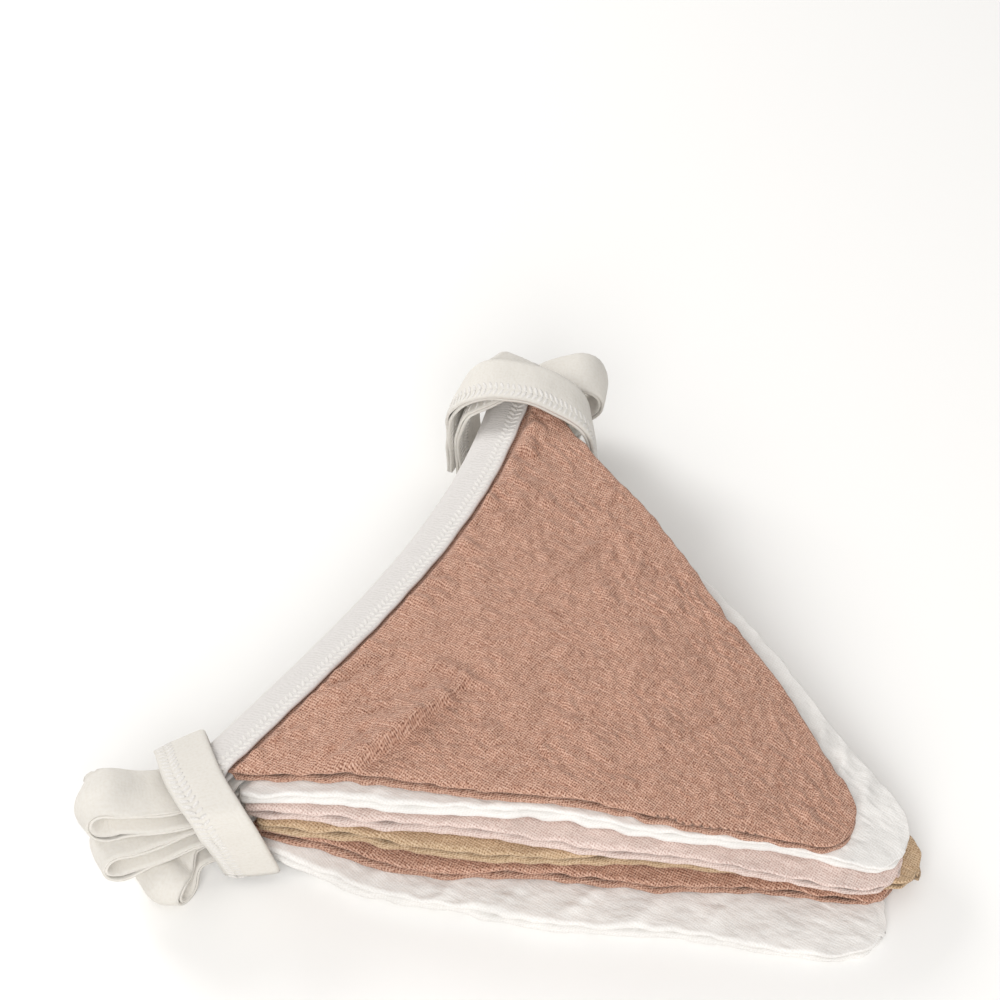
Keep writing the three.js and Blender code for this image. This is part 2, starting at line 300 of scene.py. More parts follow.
def sewnEdge(row, level, u):  # a point of the sewn edge, and the way from there to the tape's fold
    edge = placeInPlan(row, 0, u)
    out = (placeInPlan(row, -1, u) - edge).normalized()
    if row is tail:
        edge.z = stack["tailRise"] + (max(groundHeight(edge) - stack["tapeLift"], 0) if u > 0 else 0)
    else:
        edge.z = layerMiddle(level, edge)
        out.z = -math.tan(math.radians(stack["topTilt"]) * (1 - level / (len(pennants) - 1)))
    return edge, out.normalized()


# Gauze: an open plain weave whose threads wander, thicken and thin; its colours paint shade in the gaps and
# on the threads' sides and light on their tops
gauze = {
    "pitch": 0.68, "drifts": ((0.16, 0.8), (0.9, 0.4)), "over": 0.3, "lift": 0.7, "warp": 1.0, "weft": 0.84,
    "slub": (0.62, 1.3), "slubGrain": (1.5, 0.3), "uneven": 0.66, "fibre": 2.1, "fibreSpan": (0.25, 0.75),
    "patchGrain": 0.09, "patchLight": (0.93, 1.07), "colourStops": (0.05, 0.5, 1.0),
    "puckerGrain": (0.42, 0.2), "puckerStrength": 0.6, "puckerBump": 0.8, "weaveStrength": 0.8,
    "roughness": (1, 0.86), "shine": 0.2, "sheen": 0.12, "sheenRoughness": 0.5,
    "finishes": {  # colours of the gaps, the threads' sides and tops, weave height, light in the side seam
        # gap is painted shade between the threads; thread and top are the threads' own colour with painted
        # shade on their sides and painted light on their tops
        "clay": {"slot": "clay_gauze", "gap": linear(98, 55, 38), "thread": linear(184, 140, 119),
                 "top": linear(217, 181, 161), "weave": 0.17, "paintedSeamLight": 0.3},
        "white": {"slot": "white_gauze", "gap": linear(228, 224, 219), "thread": linear(234, 231, 227),
                  "top": linear(238, 236, 233), "weave": 0.06, "paintedSeamLight": 0.9},
        "pink": {"slot": "pink_gauze", "gap": linear(188, 156, 146), "thread": linear(221, 200, 191),
                 "top": linear(234, 217, 209), "weave": 0.12, "paintedSeamLight": 0.55},
        "sand": {"slot": "sand_gauze", "gap": linear(142, 110, 78), "thread": linear(194, 165, 133),
                 "top": linear(216, 191, 161), "weave": 0.14, "paintedSeamLight": 0.42},
    },
}


def addDrift(tree, vector, scale, reach):  # moves a place on the cloth a little, as loose threads lie
    node = tree.nodes.new("ShaderNodeVectorMath")
    node.operation = "MULTIPLY_ADD"
    tree.links.new(addNoise(tree, vector, scale, 3, "Color"), node.inputs[0])
    node.inputs[1].default_value = (reach, reach, reach)
    tree.links.new(vector, node.inputs[2])
    return node.outputs[0]


def addThread(tree, wave, over, slub, weight):
    lift = addMath(tree, "ADD", over, gauze["lift"])
    thick = addRange(tree, slub, *noiseSpan, *[share * weight for share in gauze["slub"]])
    return addMath(tree, "MULTIPLY", addMath(tree, "MULTIPLY", addMath(tree, "ABSOLUTE", wave), lift), thick)


def gauzeMaterial(name, finish):
    material, tree, shader = newMaterial(name)
    flat = addClothPlace(tree)
    laid = flat
    for scale, reach in gauze["drifts"]:
        laid = addDrift(tree, laid, scale, reach)
    parts = addParts(tree, laid)
    turns = math.pi / gauze["pitch"]
    warp = addMath(tree, "SINE", addMath(tree, "MULTIPLY", parts["X"], turns))
    weft = addMath(tree, "SINE", addMath(tree, "MULTIPLY", parts["Y"], turns))
    crossing = addMath(tree, "MULTIPLY", warp, weft)
    short, long = gauze["slubGrain"]
    warpSlub = addNoise(tree, addMapping(tree, flat, (short, long, 1)), 1, 1)
    weftSlub = addNoise(tree, addMapping(tree, flat, (long, short, 1)), 1, 1)
    warpOver = addMath(tree, "MULTIPLY", crossing, gauze["over"])
    weftOver = addMath(tree, "MULTIPLY", crossing, -gauze["over"])
    weave = addMath(tree, "MAXIMUM", addThread(tree, warp, warpOver, warpSlub, gauze["warp"]),
                    addThread(tree, weft, weftOver, weftSlub, gauze["weft"]))
    most = gauze["uneven"] / 2
    patchy = addRange(tree, addNoise(tree, flat, gauze["fibre"], 2), *gauze["fibreSpan"], -most, most)
    shown = addMath(tree, "ADD", weave, patchy)
    # painted shade in the gaps and on the threads' sides, painted light on their tops, over the threads' own
    # colour
    colours = (finish["gap"], finish["thread"], finish["top"])
    colour = addRamp(tree, shown, tuple(zip(gauze["colourStops"], colours)))
    patches = addRange(tree, addNoise(tree, flat, gauze["patchGrain"], 3), *noiseSpan, *gauze["patchLight"])
    # painted shade: the colour is scaled down to the finish's seam light where the "sunk" mark lies, in the
    # side seam's groove and at the closing stitches' holes
    shade = addRange(tree, addMark(tree, "sunk"), 0, 1, 1, finish["paintedSeamLight"])
    light = addMath(tree, "MULTIPLY", patches, shade)
    tone = tree.nodes.new("ShaderNodeVectorMath")
    tone.operation = "SCALE"
    tree.links.new(colour, tone.inputs[0])
    tree.links.new(light, tone.inputs["Scale"])
    tree.links.new(tone.outputs[0], shader.inputs["Base Color"])
    puckers = addNoise(tree, addMapping(tree, flat, (*gauze["puckerGrain"], 1)), 1, 4)
    puckered = addBump(tree, puckers, gauze["puckerStrength"], gauze["puckerBump"])
    normal = addBump(tree, shown, gauze["weaveStrength"], finish["weave"], puckered)
    tree.links.new(normal, shader.inputs["Normal"])
    tree.links.new(addRange(tree, weave, 0, 1, *gauze["roughness"]), shader.inputs["Roughness"])
    shader.inputs["Specular IOR Level"].default_value = gauze["shine"]
    shader.inputs["Sheen Weight"].default_value = gauze["sheen"]
    shader.inputs["Sheen Roughness"].default_value = gauze["sheenRoughness"]
    return material


# Main creases on the flat cloth: from and to as (u, v), half widths on either side, depth
creases = {  # as relief only stands out, a deep one makes a raised fold with a groove along each side
    "clayTop": [
        {"from": (-84, 24.6), "to": (-8, 38), "left": 1.3, "right": 7, "depth": -4.6},
        {"from": (-22.3, 12), "to": (-21, 55), "left": 1.3, "right": 1.3, "depth": -0.85},
        {"from": (8, 35), "to": (20, 34.6), "left": 1.2, "right": 1.2, "depth": -1.19},
        {"from": (20, 35), "to": (40, 41), "left": 2, "right": 2, "depth": -0.68},
        {"from": (24, 8), "to": (48, 19), "left": 2.2, "right": 5, "depth": -1.53},
        {"from": (-44, 9), "to": (-28, 8), "left": 3, "right": 3, "depth": -1.36},
        {"from": (-60, 14), "to": (-42, 22), "left": 2, "right": 2, "depth": -0.85},
        {"from": (-30, 52), "to": (6, 57), "left": 2, "right": 2, "depth": -0.77},
        {"from": (-38, 55), "to": (-14, 88), "left": 3, "right": 2, "depth": -0.68},
        {"from": (10, 68), "to": (34, 74), "left": 1.5, "right": 1.5, "depth": -0.68},
        {"from": (-2, 84), "to": (26, 88), "left": 1.5, "right": 1.5, "depth": -0.59},
        {"from": (-12, 101), "to": (16, 106), "left": 1.5, "right": 1.5, "depth": -0.68},
        {"from": (-11, 122), "to": (13, 126), "left": 1.5, "right": 1.5, "depth": -0.59},
    ],
    "whiteUpper": [
        {"from": (26, 108), "to": (4, 112), "left": 1.6, "right": 2, "depth": -1.4},
        {"from": (23, 117), "to": (3, 121), "left": 1.5, "right": 1.8, "depth": -1.8},
        {"from": (20, 125), "to": (2, 129), "left": 1.5, "right": 1.8, "depth": -1.8},
        {"from": (16, 134), "to": (0, 138), "left": 1.5, "right": 1.6, "depth": -1.5},
    ],
    "whiteBottom": [
        {"from": (-62, 30), "to": (-48, 32), "left": 1.6, "right": 1.6, "depth": -0.7},
        {"from": (-54, 47), "to": (-38, 50), "left": 1.6, "right": 1.6, "depth": -0.8},
        {"from": (-47, 62), "to": (-32, 65), "left": 1.6, "right": 1.6, "depth": -0.7},
        {"from": (-40, 78), "to": (-24, 82), "left": 1.6, "right": 1.6, "depth": -0.8},
        {"from": (-33, 94), "to": (-18, 97), "left": 1.6, "right": 1.6, "depth": -0.7},
        {"from": (-25, 110), "to": (-12, 113), "left": 1.6, "right": 1.6, "depth": -0.8},
    ],
}
creaseEnds = ((-0.15, 0.25), (0, 0.45))  # how a crease fades in from its start and out to its end
# the closing stitches' holes are painted as dots of shade along the lip near the tip
closing = {"from": 103, "to": 132, "rows": 3, "lip": (0.4, 0.7)}  # turning gap, sewn up by hand near the tip
crinkle = {  # length of each kind of fold along the tape and towards the tip, then their shares of the height
    "patch": (26, 30), "puff": (7.5, 11.5), "towardsTip": (3.2, 8), "alongTape": (9, 3.2),
    "small": (1.7, 1.7), "patchSpan": (-0.25, 0.25), "pleatMix": (0.5, 1.3),
    "puffShare": 1.3, "pleatShare": 0.85, "smallShare": 0.14, "sink": 0.62,
}


def creaseHeight(rows, u, v):
    total = 0
    for crease in rows:
        du, dv = crease["to"][0] - crease["from"][0], crease["to"][1] - crease["from"][1]
        pu, pv = u - crease["from"][0], v - crease["from"][1]
        share = min(max((pu * du + pv * dv) / (du * du + dv * dv), 0), 1)
        away = math.hypot(pu - share * du, pv - share * dv)
        width = crease["left"] if du * pv - dv * pu > 0 else crease["right"]
        if away < 3 * width:  # further out it has died away
            fade = smooth(share, *creaseEnds[0]) * smooth(1 - share, *creaseEnds[1])
            total += crease["depth"] * fade * math.exp(-((away / width) ** 2))
    return total


def crinkleHeight(u, v, seed):  # soft puffs with thin valleys, in patches of long and of short pleats
    def folds(kind, shift):
        return noise.noise((u / crinkle[kind][0], v / crinkle[kind][1], seed + shift))

    few, many = crinkle["pleatMix"]
    patch = smooth(folds("patch", 3), *crinkle["patchSpan"])
    pleats = mix(few, many, patch) * abs(folds("towardsTip", 5))
    pleats += mix(many, few, patch) * abs(folds("alongTape", 9))
    height = crinkle["puffShare"] * abs(folds("puff", 0)) + crinkle["pleatShare"] * pleats
    return height + crinkle["smallShare"] * folds("small", 17) - crinkle["sink"]


def edgeDistance(u, v):  # from a point of the cloth to the pennant's outline
    slope = (sewnHalf - arcHalf) / arcStart
    side = (sewnHalf - slope * v - abs(u)) * math.cos(tipAngle)
    if v > tipCentre:
        return min(side, cut["tipRadius"] - math.hypot(u, v - tipCentre))
    return side


def outlinePoint(across, v, onTip, outset):  # a place on the flat cloth, its side moved out by outset
    if onTip <= 0:
        side = mix(sewnHalf, arcHalf, max(v, 0) / arcStart)
        return across * (side + outset / math.cos(tipAngle)), v
    angle = mix(math.pi / 2 - tipAngle, math.radians(cut["lastTurn"]), onTip)
    radius = cut["tipRadius"] + outset
    u = across * radius * math.sin(angle)
    if onTip > 0.999:
        return u, tipCentre + math.sqrt(radius * radius - u * u)
    return u, tipCentre + radius * math.cos(angle)


def reliefHeight(row, level, u, v, upper, hidden):  # crinkles, main creases and the gathers beside the tape
    seed = level * 31 + (0 if upper else 13)
    relief = row["crinkle"] * mix(1, cut["hiddenRelief"], hidden) * crinkleHeight(u, v, seed)
    if upper:
        relief += creaseHeight(creases.get(row["name"], ()), u, v)
    if upper and level == 0:
        gathered = cut["gather"] * (1 - smooth(v, *cut["gatherEnds"]))  # by the stitching along the tape
        relief += gathered * noise.noise((u / cut["gatherLength"], v / cut["gatherReach"], seed + 21))
    return abs(relief)  # it only stands out from the panel, with a sharp groove where the sign turns


# painted shade of the side seam's groove: full in the groove, part of it on the lower lip under the upper
# lip, none on the panels
def paintedSeamShade(level, side, v, down, strip):  # 1 in the side seam and at its closing stitches, 0 on the panels
    low, high = closing["lip"]
    # painted shade: dark dots for the closing stitches' holes, every few rows along the lip
    if level == 0 and side < 0 and closing["from"] < v < closing["to"] and low < strip < high:
        return 1 if down % closing["rows"] == 0 else 0
    step = round(abs(strip) * cut["lipSteps"])
    return 1 if step < 2 else cut["underLipPaintedShade"] if step == 2 and strip < 0 else 0


def pennantPoint(row, level, across, down, strip):  # strip: 1 upper panel, 0 the seam round, -1 lower panel
    onTip = (down - cut["seamRows"] - row["rows"]) / cut["tipRows"]
    v = (down - cut["seamRows"]) / row["rows"] * arcStart
    if down < cut["seamRows"]:
        v = (down / cut["seamRows"] - 1) * cut["seamDepth"]
    loose = smooth(v, 0, cut["looseTo"])
    across *= 1 + cut["finer"] * (1 - across * across)  # faces get finer towards the sides
    halfWidth = max(sewnHalf * (1 - max(v, 0) / cut["height"]), cut["leastHalf"])
    rough = placeInPlan(row, max(v, 0), across * halfWidth)
    half = mix(cut["seamThickness"], layerRoom(rough) * cut["fill"], loose) / 2
    side = 1 if across > 0 else -1
    wobble = noise.noise((v / cut["wanderLength"], level * 5.3, 4.5 - 2.5 * side))
    seam = half * loose * (cut["seamUp"] + cut["seamWander"] * wobble)  # it wanders between its two lips
    opened = smooth(noise.noise((v / cut["openLength"], level * 2.7, 9 + side)), *cut["openSpan"])
    gape = loose * mix(*cut["seamOpen"], opened) / 2
    lip = (half - gape - (seam if strip > 0 else -seam)) / 2
    panel = math.copysign(1, strip)
    unevenness = noise.noise((v / cut["lipLength"], level * 3.1 + panel, 2.5 + 1.5 * side))
    edgeOut = loose * (cut["lipOut"] + cut["lipUneven"] * unevenness)
    if level and side < 0:
        edgeOut += loose * cut["cornerOut"] * (1 - smooth(v, *cut["cornerEnds"]))  # bunched by the winding
    turn = math.radians(mix(*cut["lipTurn"], (abs(strip) * cut["lipSteps"] - 1) / (cut["lipSteps"] - 1)))
    outset = edgeOut - lip + lip * math.cos(turn)
    height = panel * (gape + lip + lip * math.sin(turn)) + seam
    if strip == 0:
        outset, height = -cut["seamIn"] * loose - cut["seamBehind"], seam
    # painted shade of the side seam, fading out where the cloth goes into the tape
    sunk = loose * paintedSeamShade(level, side, v, down, strip)
    spread = edgeOut - lip + 3 * lip * (1 - abs(strip))  # the same place with the lip laid flat
    flat = Vector(outlinePoint(across, v, onTip, spread))
    u, v = outlinePoint(across, v, onTip, outset)
    sway = row["wave"] * math.sin(v / cut["waveLength"] + level * cut["waveStep"] + across * cut["waveSkew"])
    u += loose * abs(across) * sway
    if across < 0:
        u -= across * row["tuck"] * smooth(v, *cut["tuckFrom"])
    at = placeInPlan(row, max(v, 0), u)
    inside = edgeDistance(u, v)
    rim = smooth(inside, *cut["rimEnds"])
    if strip in (-1, 1) or rim > 0:
        hidden = smooth(inside, *cut["hiddenEnds"]) if level or strip < 0 else 0  # flatter between the layers
        relief = reliefHeight(row, level, u, v, strip > 0, hidden)
        height += strip * relief * loose * mix(cut["rimRelief"], 1, rim)
        limit = layerRoom(at) / 2 - cut["clear"]  # from the pennants above and below
        if strip < 0 and level + 1 < len(pennants):
            height = max(height, -limit)
        if strip > 0 and hidden > 0.9:
            height = min(height, limit)
    at.z = layerMiddle(level, at)
    if v < 0:
        at += sewnEdge(row, level, u)[1] * -v
    swell = stack["sway"] * noise.noise((at.x / stack["swayLength"], at.y / stack["swayLength"], 3))
    at.z += height + swell * loose * at.z / stack["near"]
    at.z = max(at.z, stack["floorGap"])  # the lowest cloth lies flat on the floor
    return at, flat, sunk


def pennantMesh(row, level):
    bm = bmesh.new()
    rows = cut["seamRows"] + row["rows"] + cut["tipRows"]
    bmesh.ops.create_grid(bm, x_segments=row["columns"], y_segments=rows, size=1)
    raised = bmesh.ops.extrude_face_region(bm, geom=bm.faces[:])["geom"]
    lifted = [part for part in raised if isinstance(part, bmesh.types.BMVert)]
    bmesh.ops.translate(bm, verts=lifted, vec=(0, 0, 2))
    rim = [edge for edge in bm.edges if abs(edge.verts[0].co.z - edge.verts[1].co.z) > 1]
    bmesh.ops.subdivide_edges(bm, edges=rim, cuts=2 * cut["lipSteps"] - 1)
    bmesh.ops.recalc_face_normals(bm, faces=bm.faces)
    flat = {}
    # each point's painted seam shade, read by the gauze material
    marks = bm.verts.layers.float.new("sunk")
    for vert in bm.verts:
        across, down, strip = vert.co.x, (vert.co.y + 1) / 2 * rows, vert.co.z - 1
        strip = round(strip * cut["lipSteps"]) / cut["lipSteps"]
        vert.co, flat[vert], vert[marks] = pennantPoint(row, level, across, round(down), strip)
    cloth = bm.loops.layers.uv.new("flatCloth")
    for face in bm.faces:
        face.smooth = True
        for loop in face.loops:
            loop[cloth].uv = flat[loop.vert] * mm
    bmesh.ops.scale(bm, vec=(mm, mm, mm), verts=bm.verts)
    mesh = bpy.data.meshes.new(row["name"] + "Pennant")
    bm.to_mesh(mesh)
    bm.free()
    return mesh


def addPiece(mesh, material, node=None):
    piece = bpy.data.objects.new(mesh.name, mesh)
    scene.collection.objects.link(piece)
    mesh.materials.append(material)
    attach(piece, "root")
    if node:
        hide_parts(node)
    return piece


def addPennants():
    finishes = gauze["finishes"]
    materials = {name: gauzeMaterial(name + "Gauze", finish) for name, finish in finishes.items()}
    for level, row in enumerate(pennants):
        mesh = pennantMesh(row, level)
        piece = addPiece(mesh, materials[row["finish"]], row["node"])
        print("pennant made:", piece.name, len(mesh.polygons), "faces")


addPennants()

# Tape: folded lengthways, sewn to the pennants, then bare in the loops and the two wound ends
tape = {
    "width": 14.5, "leaf": 0.8, "shut": 0.2, "held": 0.9, "slotDepth": 10.6, "slotEnd": 3, "tailStops": 9,
    "pinch": (1.5, 6), "pinchGap": 0.03, "columns": 34, "finerFold": 1.25, "step": 1.6, "runStops": 24,
    "topDroop": 1.8, "tiePuff": 0.25, "legPuff": 0.2, "innerBare": 0.4,
    "crumple": 0.9, "crumpleLength": 11, "crumpleLeast": 0.3, "wander": 0.55, "wanderLength": 8,
    "colour": linear(214, 210, 207), "shade": linear(203, 199, 195),
    "cream": linear(220, 216, 209), "creamShade": linear(213, 207, 197), "colourStops": (0.1, 0.6),
    "ribPitch": 0.88, "ribStrength": 0.7, "ribBump": 0.09, "ribShade": 0.26, "ribSlip": 0.5,
    "slipGrain": 0.35, "ribStart": (3, 5), "ribEnd": (9, 10.5), "atFold": 0.15, "atEdge": 0.4, "onBare": 0.3,
    "unevenGrain": (1.4, 1.1), "slackGrain": 0.16, "slackStrength": 0.5, "slackBump": 0.8,
    "roughness": (0.95, 0.8), "shine": 0.25, "sheen": 0.1,
}
loopBend = (115, 85, 55, 28, 0, -28, -55, -85, -115)  # from a loop's middle to its stops, in degrees
loops = [  # top first, near and far corner in turn; veer, swing and pitch in degrees
    {"neck": 9, "veer": -28, "reach": 17, "swing": -50, "girth": 11, "pitch": 3, "puff": 2.0},
    {"neck": 9, "veer": 10, "reach": 10, "swing": 60, "girth": 13, "pitch": 12, "puff": 1.8},
    {"neck": 9, "veer": -34, "reach": 20, "swing": -40, "girth": 9.5, "pitch": -10.5, "puff": 1.6},
    {"neck": 12, "veer": 0, "reach": 8, "swing": -10, "girth": 9, "pitch": 0, "puff": 0.8},
    {"neck": 9, "veer": -33, "reach": 11, "swing": 0, "girth": 8, "pitch": -22, "puff": 1.6},
    {"neck": 10, "veer": 0, "reach": 4, "swing": 0, "girth": 5, "pitch": 0, "puff": 0.3},
]
farTie = [  # x from the sewn line, y, z, direction of the fold seen from above, its rise
    (-18.6, 63.2, 10, 95, 0), (-18.8, 63.2, 24, 95, 0), (-18.3, 63, 36.7, 100, 4), (-12.4, 65, 45.3, 112, 2),
    (-2, 69, 47, 112, 0), (8, 72, 45.6, 114, -2), (15.8, 73, 41.5, 121, -2), (19.4, 73.6, 30, 126, 0),
    (19.2, 74.2, 13.6, 124, 0), (14.5, 72.8, 2.6, 118, 0), (4, 69.5, 1.5, 110, 0), (-9.6, 65.5, 1.6, 106, 0),
    (-15, 64, 5.6, 100, 0), (-15.8, 63.5, 16, 96, 0), (-16, 63.5, 28, 98, 0), (-13.8, 64.8, 37.5, 105, 0),
    (-10.8, 69, 41.6, 140, 0), (-8.6, 75.5, 42, 172, 0), (-8, 79.8, 41.2, 180, 0), (-7.8, 81.4, 39.4, 180, 0),
]
nearTie = [  # the same at the near corner
    (-1, -44, 1, 181, 0), (-2.2, -54, 1, 170, 0), (-5.6, -62.8, 1.2, 138, 0), (-10.4, -68, 1.6, 102, 0),
    (-15.2, -69.8, 3.6, 78, 0), (-17.4, -70, 9, 67, 0), (-18.2, -70.4, 18, 65, 0),
    (-18.9, -71.6, 27.8, 62, 0), (-12.2, -77.6, 33.9, 56, 0), (-3.6, -83.4, 35.3, 52, 0),
    (3.8, -86.8, 34, 48, 0), (6.9, -86.6, 27.6, 45, 0), (7.9, -85.2, 20.4, 42, 0), (9.2, -83.8, 12, 38, 0),
    (10.2, -82.4, 4, 35, 0),
]


class Stop:  # one place on the tape's route, at the middle of its folded width; out points to the fold
    def __init__(self, middle, out, held=0.0, puff=0.0, bare=1.0, sewn=()):
        self.middle, self.out = middle, out
        self.held, self.puff, self.bare, self.droop = held, puff, bare, 0
        self.sewn = sewn  # the faces on which stitching shows


def tieStops(rows):
    stops = []
    for x, y, z, facing, lean in rows:
        turn = math.radians(facing)
        out = Vector((math.cos(turn), math.sin(turn), math.tan(math.radians(lean)))).normalized()
        stops.append(Stop(Vector((stack["sewnLine"] + x, y, z)), out, puff=tape["tiePuff"], sewn=(1, -1)))
    return stops


def runStops(row, level, way):
    reach = sewnHalf + tape["slotEnd"]
    inside = [mix(-sewnHalf, sewnHalf, k / tape["runStops"]) for k in range(tape["runStops"] + 1)]
    top = level == 0
    stops = []
    for u in (-reach, *inside, reach):
        edge, out = sewnEdge(row, level, u * way)
        held = 0 if row is tail or abs(u) > sewnHalf else tape["held"]
        if u * way < -sewnHalf:
            edge.z *= stack["nearSqueeze"]
        stop = Stop(edge + out * tape["width"] / 2, out, held, bare=0 if top else tape["innerBare"])
        stop.droop = tape["topDroop"] if top else 0
        stop.sewn = (-1,) if top else ()
        stops.append(stop)
    return stops


def loopStops(loop, start, end, way):
    def heading(degrees):
        return Matrix.Rotation(-way * math.radians(degrees), 3, "Z") @ Vector((0, way, 0))

    def sideways(degrees):
        return heading(degrees - 90)

    ahead = heading(loop["swing"])
    legs = [stop.middle + heading(loop["veer"]) * loop["neck"] for stop in (start, end)]
    hub = (legs[0] + legs[1]) / 2 + ahead * loop["reach"]
    hub.z += loop["reach"] * math.tan(math.radians(loop["pitch"]))
    stops = []
    for degrees in loopBend:
        angle = math.radians(degrees)
        offset = (ahead * math.cos(angle) + Vector((0, 0, math.sin(angle)))) * loop["girth"] / 2
        stops.append(Stop(hub + offset, sideways(loop["swing"]), puff=loop["puff"]))
    ends = [Stop(leg, sideways(loop["veer"]), puff=tape["legPuff"]) for leg in legs]
    return [ends[0], *stops, ends[1]]


def tapeRoute():
    runs = [runStops(row, level, 1 if level % 2 else -1) for level, row in enumerate([*pennants, tail])]
    stops = tieStops(farTie)
    for level, run in enumerate(runs):
        if level < len(loops):
            loop = loopStops(loops[level], run[-1], runs[level + 1][0], 1 if level % 2 else -1)
            stops += [*run, *loop]
        else:
            stops += run[:-tape["tailStops"]]  # the tail turns off before its run ends
    return stops + tieStops(nearTie)


def direction(stops, k):  # of the route at a stop, nearer neighbours counting more
    before = stops[k].middle - stops[max(k - 1, 0)].middle
    after = stops[min(k + 1, len(stops) - 1)].middle - stops[k].middle
    if before.length == 0 or after.length == 0:
        return (before + after).normalized()
    return (before / before.length_squared + after / after.length_squared).normalized()


def finePath(stops):  # the route at even short steps, with its frame and its length so far
    path = []
    for k in range(len(stops) - 1):
        start, end = stops[k], stops[k + 1]
        span = (end.middle - start.middle).length
        steps = max(2, round(span / tape["step"]))
        leave = start.middle + direction(stops, k) * span / 3
        reach = end.middle - direction(stops, k + 1) * span / 3
        points = interpolate_bezier(start.middle, leave, reach, end.middle, steps + 1)
        for j, point in enumerate(points[:-1] if k < len(stops) - 2 else points):
            share = j / steps
            fine = Stop(point, start.out.lerp(end.out, share))
            fine.sewn = start.sewn if share < 0.5 else end.sewn
            for field in ("held", "puff", "droop", "bare"):
                setattr(fine, field, mix(getattr(start, field), getattr(end, field), share))
            path.append(fine)
    length = 0
    for k, stop in enumerate(path):
        tangent = direction(path, k)
        stop.out.normalize()
        stop.normal, stop.tangent = tangent.cross(stop.out).normalized(), tangent
        length += (stop.middle - path[k - 1].middle).length if k else 0
        stop.length = length
    return path


foldRadius = tape["shut"] + tape["leaf"] / 2
flatLeaf = tape["width"] - tape["leaf"] / 2 - foldRadius
halfStrip = flatLeaf + foldRadius * math.pi / 2  # half of the tape's width before it was folded


def tapePoint(stop, place, lift=0.0):  # place across the unfolded tape, 0 at its fold
    face = 1 if place >= 0 else -1
    turn = abs(place) / foldRadius
    if turn < math.pi / 2:
        across, height = flatLeaf + foldRadius * math.cos(turn), foldRadius * math.sin(turn)
    else:
        across = halfStrip - abs(place)
        fullness = math.sin(math.pi * min(across / flatLeaf, 1))
        held = stop.held * (1 - smooth(across, tape["slotDepth"], flatLeaf))
        shut = smooth(across, *tape["pinch"]) if stop.bare > 0.5 else 1  # bare tape is sewn shut at its edge
        height = mix(tape["leaf"] / 2 + tape["pinchGap"], foldRadius, shut) + held + stop.puff * fullness
    shaken = (stop.length / tape["crumpleLength"], across / tape["crumpleLength"])
    crumple = tape["crumple"] * stop.bare * noise.noise((*shaken, 5 + face))
    wander = tape["wander"] * noise.noise((stop.length / tape["wanderLength"], 7, 2))  # of its sewn edge
    sideways = across - tape["width"] / 2 + wander * (1 - across / tape["width"])
    at = stop.middle + stop.out * sideways + stop.normal * face * (height + lift)
    at += stop.normal * crumple * (tape["crumpleLeast"] + stop.puff)
    at.z -= stop.droop * (across / tape["width"]) ** 2
    return at


def tapeMesh(path):
    bm = bmesh.new()
    bmesh.ops.create_grid(bm, x_segments=tape["columns"], y_segments=len(path) - 1, size=1)
    flat = {}
    marks = bm.verts.layers.float.new("bare")
    for vert in bm.verts:
        share = math.copysign(abs(vert.co.x) ** tape["finerFold"], vert.co.x)  # finer round the fold
        stop = path[round((vert.co.y + 1) / 2 * (len(path) - 1))]
        flat[vert] = Vector((share * halfStrip, stop.length))
        vert[marks] = stop.bare
        vert.co = tapePoint(stop, share * halfStrip)
        vert.co.z = max(vert.co.z, tape["leaf"] / 2 + stack["floorGap"])
    strip = bm.loops.layers.uv.new("flatTape")
    for face in bm.faces:
        face.smooth = True
        for loop in face.loops:
            loop[strip].uv = flat[loop.vert] * mm
    bmesh.ops.scale(bm, vec=(mm, mm, mm), verts=bm.verts)
    mesh = bpy.data.meshes.new("bindingTape")
    bm.to_mesh(mesh)
    bm.free()
    return mesh


